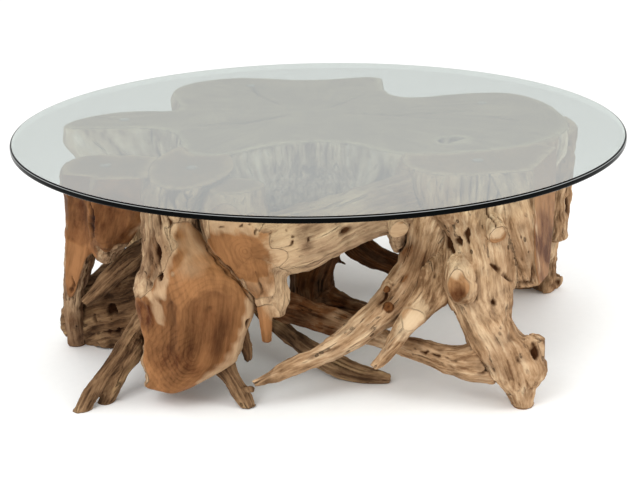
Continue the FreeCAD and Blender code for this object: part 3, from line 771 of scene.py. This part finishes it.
def dish_depths(places, dishes):
    """How deep the dishes are at each place, and how much painted shade darkens it there."""
    depths, dish_shade = np.zeros(len(places)), np.zeros(len(places))
    for line, half_width, depth in dishes:
        share = np.clip(1 - (line_gaps(places, line)[0] / half_width) ** 2, 0, 1)
        depths = np.where(share * abs(depth) * MM > np.abs(depths), share * depth * MM, depths)
        dish_shade += DISH_SHADE * np.clip(3 * share, 0, 1)
    return depths, dish_shade


def saw_marks(node, solid, even):
    """Which places of a root's even mesh lie in a flat face of its solid, and which in a saw cut: 0 or 1."""
    if node in OLD_CUTS:
        return np.zeros((2, len(even.vertices)))
    flat, cut = flat_triangles(solid)
    lookup = BVHTree.FromPolygons([v.co for v in solid.vertices], [p.vertices for p in solid.polygons])
    nearest = [lookup.find_nearest(v.co)[2] for v in even.vertices]
    return flat[nearest].astype(float), cut[nearest].astype(float)


def bark_distance(mesh, sawn):
    """How far each place on a saw cut is from the grown wood round it, in metres."""
    grown = KDTree(len(mesh.vertices))
    for vertex, cut in zip(mesh.vertices, sawn):
        if not cut:
            grown.insert(vertex.co, vertex.index)
    grown.balance()
    return np.array([grown.find(vertex.co)[2] if cut else 0.0 for vertex, cut in zip(mesh.vertices, sawn)])


def sapwood_share(node, places, even, sawn):
    """How far each place is sapwood, from 0 to 1: at the rim of a saw cut, and in the listed bands."""
    share = SAP_RIM_SHARE * sawn * np.clip(1 - bark_distance(even, sawn) / SAP_RIM, 0, 1)
    for line, half_width in SAPWOOD.get(node, []):
        share = np.maximum(share, 1 - line_gaps(places, line)[0] / (1.5 * half_width))
    return share


def joined_solids(nodes):
    """One mesh object of several solids, for the weathering tree to measure from."""
    work = bmesh.new()
    for node in nodes:
        work.from_mesh(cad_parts[node].data)
    mesh = bpy.data.meshes.new("neighbours")
    work.to_mesh(mesh)
    work.free()
    return new_object("neighbours", mesh)


def make_root(tree, node, grid, sizes, finish, slot):
    """Dress one root: an even copy of its solid, told where it was ground and how its fibres run, then worn."""
    obj, solid, even = even_copy(node, grid)
    places = places_of(even)
    ground, sawn = saw_marks(node, solid, even)
    if node in GROUND_FACES:
        ground = np.maximum(ground, spots(places, GROUND_FACES[node], GROUND_FADE).max(axis=0))
    fibres = fibre_coordinates(places, GRAIN_LINES[node]) if node in GRAIN_LINES else stump_coordinates(places)
    ring = ring_distance(places, fibres, PITHS.get(node))
    if node != "stump_crown":
        ring = np.where(sawn > 0.5, np.hypot(fibres[:, 0], fibres[:, 1]), ring)
    # The tone attribute carries the wood's own tone, painted shade in the dishes and on some listed patches, and
    # painted light on some tops under the glass
    dish, dish_shade = dish_depths(places, DISHES.get(node, []))
    tone_and_shading = -dish_shade
    for middle, reach, much in TONES_AND_PAINTED_SHADING.get(node, []):
        tone_and_shading += much * spots(places, [(middle, reach)], 0.6 * reach)[0]
    tone_and_shading[sawn > 0.5] = 0
    marks = {
        "ring": ring,
        "sawn": sawn,
        "ground": ground,
        "sap": sapwood_share(node, places, even, sawn),
        "groove": groove_depths(places, GROOVES.get(node, [])),
        "dish": dish,
        "tone_and_shading": np.clip(tone_and_shading, -2, 1),
    }
    store(even, "fibre", "FLOAT_VECTOR", fibres)
    for name, values in marks.items():
        store(even, name, "FLOAT", values)
    obj.data = even
    inputs = {name: size if name == "Rounding" else size * MM for name, size in zip(WEAR, sizes)}
    inputs.update({"Crown top": CROWN_TOP, "Finish": finish, "Collar height": 0.0, "Collar reach": 1.0})
    neighbours = None
    if node in PARENTS:
        neighbours = joined_solids(PARENTS[node])
        inputs.update({"Collar height": COLLAR_HEIGHT, "Collar reach": COLLAR_REACH, "Neighbours": neighbours})
    wear(obj, tree, inputs)
    if neighbours:
        bpy.data.objects.remove(neighbours)
    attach(obj, "base")
    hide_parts(node)


# Sanded teak: warm brown heartwood with faint rings, cream sapwood at the bark side
sanded_teak = teak_root(
    "sanded_teak_root", ("#6b4f3a", "#93755a", "#ab8d6e", "#c6aa88"), ("#5b3a1f", "#9b6c45"), ("#a98765", "#ceb28f")
)
# Bleached teak: brushed clean and left in the sun, pale and dry
bleached_teak = teak_root(
    "bleached_teak_root", ("#75563c", "#a1805f", "#b99876", "#d3b693"), ("#7a5433", "#a87d56"), ("#bd9d79", "#d8bf9e")
)
# Weathered teak: rain-worn, brown and fibrous
weathered_teak = teak_root(
    "weathered_teak_root", ("#4d3827", "#7b5f45", "#97795a", "#b4966f"), ("#6a4a2e", "#94704a"), ("#a38662", "#c4a781")
)
# Stump: saw-cut across its top and grey with age, its flanks pale and split
stump_teak = teak_root(
    "saw_cut_teak_stump", ("#5c4833", "#c4ad8f", "#e4d1b4", "#f5ead6"), ("#75634d", "#b8a385"), ("#bba686", "#d8c8ab")
)

# A finish, and the record's slot for it
SANDED = (sanded_teak, "sanded_teak")
BLEACHED = (bleached_teak, "bleached_teak")
WEATHERED = (weathered_teak, "weathered_teak")

# The roots: node, grid of its mesh, how it is worn, finish and slot
ROOTS = [
    ("stump_crown", COARSE, STUMP, stump_teak, "bleached_teak"),
    ("right_front_leg", MEDIUM, SMOOTH, *BLEACHED),
    ("front_left_block", MEDIUM, BULKY, *SANDED),
    ("front_center_block", FINE, SMOOTH, *SANDED),
    ("brace_root", FINE, SLIM, *BLEACHED),
    ("left_slab_root", FINE, SMOOTH, *SANDED),
    ("right_panel_root", MEDIUM, BULKY, *BLEACHED),
    ("right_end_root", MEDIUM, BULKY, *BLEACHED),
    ("lower_cross_root", FINE, SLIM, bleached_teak, "weathered_teak"),
    ("spur_root", FINE, SLIM, *BLEACHED),
    ("left_panel_root", MEDIUM, BULKY, *WEATHERED),
    ("left_stub_root", FINE, SLIM, *WEATHERED),
    ("front_left_leg", FINE, SLIM, *WEATHERED),
    ("front_middle_leg", FINE, SLIM, *WEATHERED),
    ("hanging_spike", FINE, SLIM, *WEATHERED),
    ("inner_center_leg", MEDIUM, BULKY, *WEATHERED),
    ("low_curved_root", FINE, SLIM, *WEATHERED),
    ("rear_arch_root", MEDIUM, SLIM, *WEATHERED),
    ("left_rear_leg", MEDIUM, BULKY, *WEATHERED),
    ("rear_left_leg", MEDIUM, BULKY, *WEATHERED),
    ("rear_center_leg", MEDIUM, BULKY, *WEATHERED),
    ("rear_right_leg", MEDIUM, BULKY, *WEATHERED),
    ("rear_cross_root", MEDIUM, SLIM, *WEATHERED),
]
weathering = weathering_tree()
for root in ROOTS:
    make_root(weathering, *root)


def glass_face():
    """Clear float glass, polished: nearly clear from above, grey-green and mirror-like at a low angle."""
    material, add = new_material("clear_float_glass")
    slant = add("LayerWeight", {"Blend": 0.5}, "Facing")
    tint = add("MapRange", {"Value": slant, "From Min": 0.35, "From Max": 0.75})
    passed = add("Mix", {"Factor": tint, "A": linear("#f8fcfa"), "B": linear("#d0d5d3")}, data_type="RGBA")
    bare = add("BsdfTransparent", {"Color": passed})
    shine = add("BsdfGlossy", {"Color": linear("#f4f7f5"), "Roughness": 0.04})

    # The mirror grows with the slant, and only the outer side of each face has it
    steep = add("Math", (slant, 3.5), operation="POWER")
    mirror = add("Math", (steep, 1.3, 0.06), operation="MULTIPLY_ADD")
    mirror = add("Math", (mirror, 0.47), operation="MINIMUM")
    behind = add("NewGeometry", output="Backfacing")
    outside = add("Math", (1.0, behind), operation="SUBTRACT")
    mirror = add("Math", (mirror, outside), operation="MULTIPLY")
    both = add("MixShader", (mirror, bare, shine))
    add("OutputMaterial", {"Surface": both})
    return material


def glass_edge():
    """The polished rim: light is caught inside it, so it reads near black with a bright line on its bevel."""
    material, add = new_material("polished_glass_rim")
    deep = {"Base Color": linear("#020303"), "Roughness": 0.05, "IOR": 1.5, "Specular IOR Level": 0.03}
    dark = add("BsdfPrincipled", deep)
    face = add("NewGeometry").node.outputs
    upward = add("SeparateXYZ", (face["Normal"],), "Z")
    off_bevel = distance_from(add, upward, 0.5)
    bevel = add("MapRange", {"Value": off_bevel, "From Min": 0.16, "From Max": 0.08, "To Max": 0.5})
    shine = add("BsdfGlossy", {"Color": linear("#f4f7f5"), "Roughness": 0.06})
    polished = add("MixShader", (bevel, dark, shine))
    inside = add("BsdfTransparent", {"Color": linear("#dfe6e3")})
    surface = add("MixShader", (face["Backfacing"], polished, inside))
    add("OutputMaterial", {"Surface": surface})
    return material


def make_glass():
    """The round top, turned from its profile: two flats and a rounded rim."""
    low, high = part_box("glass_top")
    radius, round_off, sides, steps = high.x, 4 * MM, 256, 6
    profile = []
    for corner, start in ((low.z + round_off, -90), (high.z - round_off, 0)):
        for step in range(steps + 1):
            angle = math.radians(start + 90 * step / steps)
            profile.append((radius - round_off + round_off * math.cos(angle), corner + round_off * math.sin(angle)))
    work = bmesh.new()
    turn = [2 * math.pi * k / sides for k in range(sides)]
    rings = [[work.verts.new((out * math.cos(a), out * math.sin(a), z)) for a in turn] for out, z in profile]
    for lower, upper in zip(rings, rings[1:]):
        for k in range(sides):
            face = work.faces.new((lower[k], lower[(k + 1) % sides], upper[(k + 1) % sides], upper[k]))
            face.material_index = 1
            face.smooth = True
    work.faces.new(rings[-1])
    work.faces.new(reversed(rings[0]))
    mesh = bpy.data.meshes.new("glass_top_looks")
    work.to_mesh(mesh)
    work.free()
    mesh.materials.append(glass_face())
    mesh.materials.append(glass_edge())
    obj = new_object("glass_top_looks", mesh)
    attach(obj, "top")
    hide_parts("glass_top")


make_glass()


def clouded(name, scale, colours, surface):
    """A plain material whose colour drifts between two, in about scale spots to a metre."""
    material, add = new_material(name)
    cloud = grain(add, add("TexCoord", output="Object"), scale)
    tint = add("Mix", {"Factor": cloud, "A": linear(colours[0]), "B": linear(colours[1])}, data_type="RGBA")
    body = add("BsdfPrincipled", {"Base Color": tint, **surface})
    add("OutputMaterial", {"Surface": body})
    return material


# Soft clear silicone, cast: milky, with a dull sheen
silicone_surface = {"Roughness": 0.35, "IOR": 1.41, "Alpha": 0.3}
silicone = clouded("clear_cast_silicone", 240, ("#a9b0ab", "#c3c9c5"), silicone_surface)
# Turned beech: pale, straight-grained and dull; it is hidden inside the joints
beech = clouded("turned_beech", 300, ("#b8946a", "#d2b18a"), {"Roughness": 0.7})
# Matt paper: a seamless white studio floor
paper = clouded("matt_white_paper", 60, ("#f3f3f2", "#f7f7f6"), {"Roughness": 0.9})

for node, finish in (("glass_pads", silicone), ("joint_dowels", beech)):
    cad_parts[node].data.materials.clear()
    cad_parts[node].data.materials.append(finish)


def make_floor():
    """A wide flat sheet of paper under the table."""
    bpy.ops.mesh.primitive_plane_add(size=30)
    floor = bpy.context.object
    floor.name = "studio_floor"
    floor.data.materials.append(paper)


def add_softbox(name, place, aim, size, watts):
    """A square soft light that faces aim."""
    lamp = bpy.data.lights.new(name, "AREA")
    lamp.size = size
    lamp.energy = watts
    obj = new_object(name, lamp)
    obj.location = place
    obj.rotation_euler = (Vector(aim) - Vector(place)).to_track_quat("-Z", "Y").to_euler()
    obj.visible_glossy = False


def light_studio():
    """White surroundings, a broad light over the front left, one from the ceiling and a fill from the right."""
    world = bpy.data.worlds.new("white_studio")
    world.use_nodes = True
    world.node_tree.nodes["Background"].inputs["Color"].default_value = (1, 1, 1, 1)
    world.node_tree.nodes["Background"].inputs["Strength"].default_value = 0.92
    bpy.context.scene.world = world
    add_softbox("front_left_softbox", (-1.6, -2.6, 2.6), (0, 0, 0.2), 2.0, 64)
    add_softbox("ceiling_softbox", (0, 1.5, 5.0), (0, 1.5, 0), 9.0, 110)
    add_softbox("right_softbox", (2.6, -1.2, 2.0), (0, 0, 0.2), 1.8, 35)
    bpy.context.scene.view_settings.view_transform = "Standard"


def add_camera():
    """The photograph's viewpoint: in front, looking a little down."""
    camera = bpy.data.cameras.new("viewpoint")
    camera.sensor_width = 36
    camera.lens = CAMERA_LENS
    obj = new_object("viewpoint", camera)
    tilt = Matrix.Rotation(math.radians(90 - CAMERA_PITCH), 4, "X")
    roll = Matrix.Rotation(math.radians(CAMERA_ROLL), 4, "Z")
    obj.matrix_world = Matrix.Translation(CAMERA_PLACE) @ tilt @ roll
    bpy.context.scene.camera = obj


make_floor()
light_studio()
add_camera()
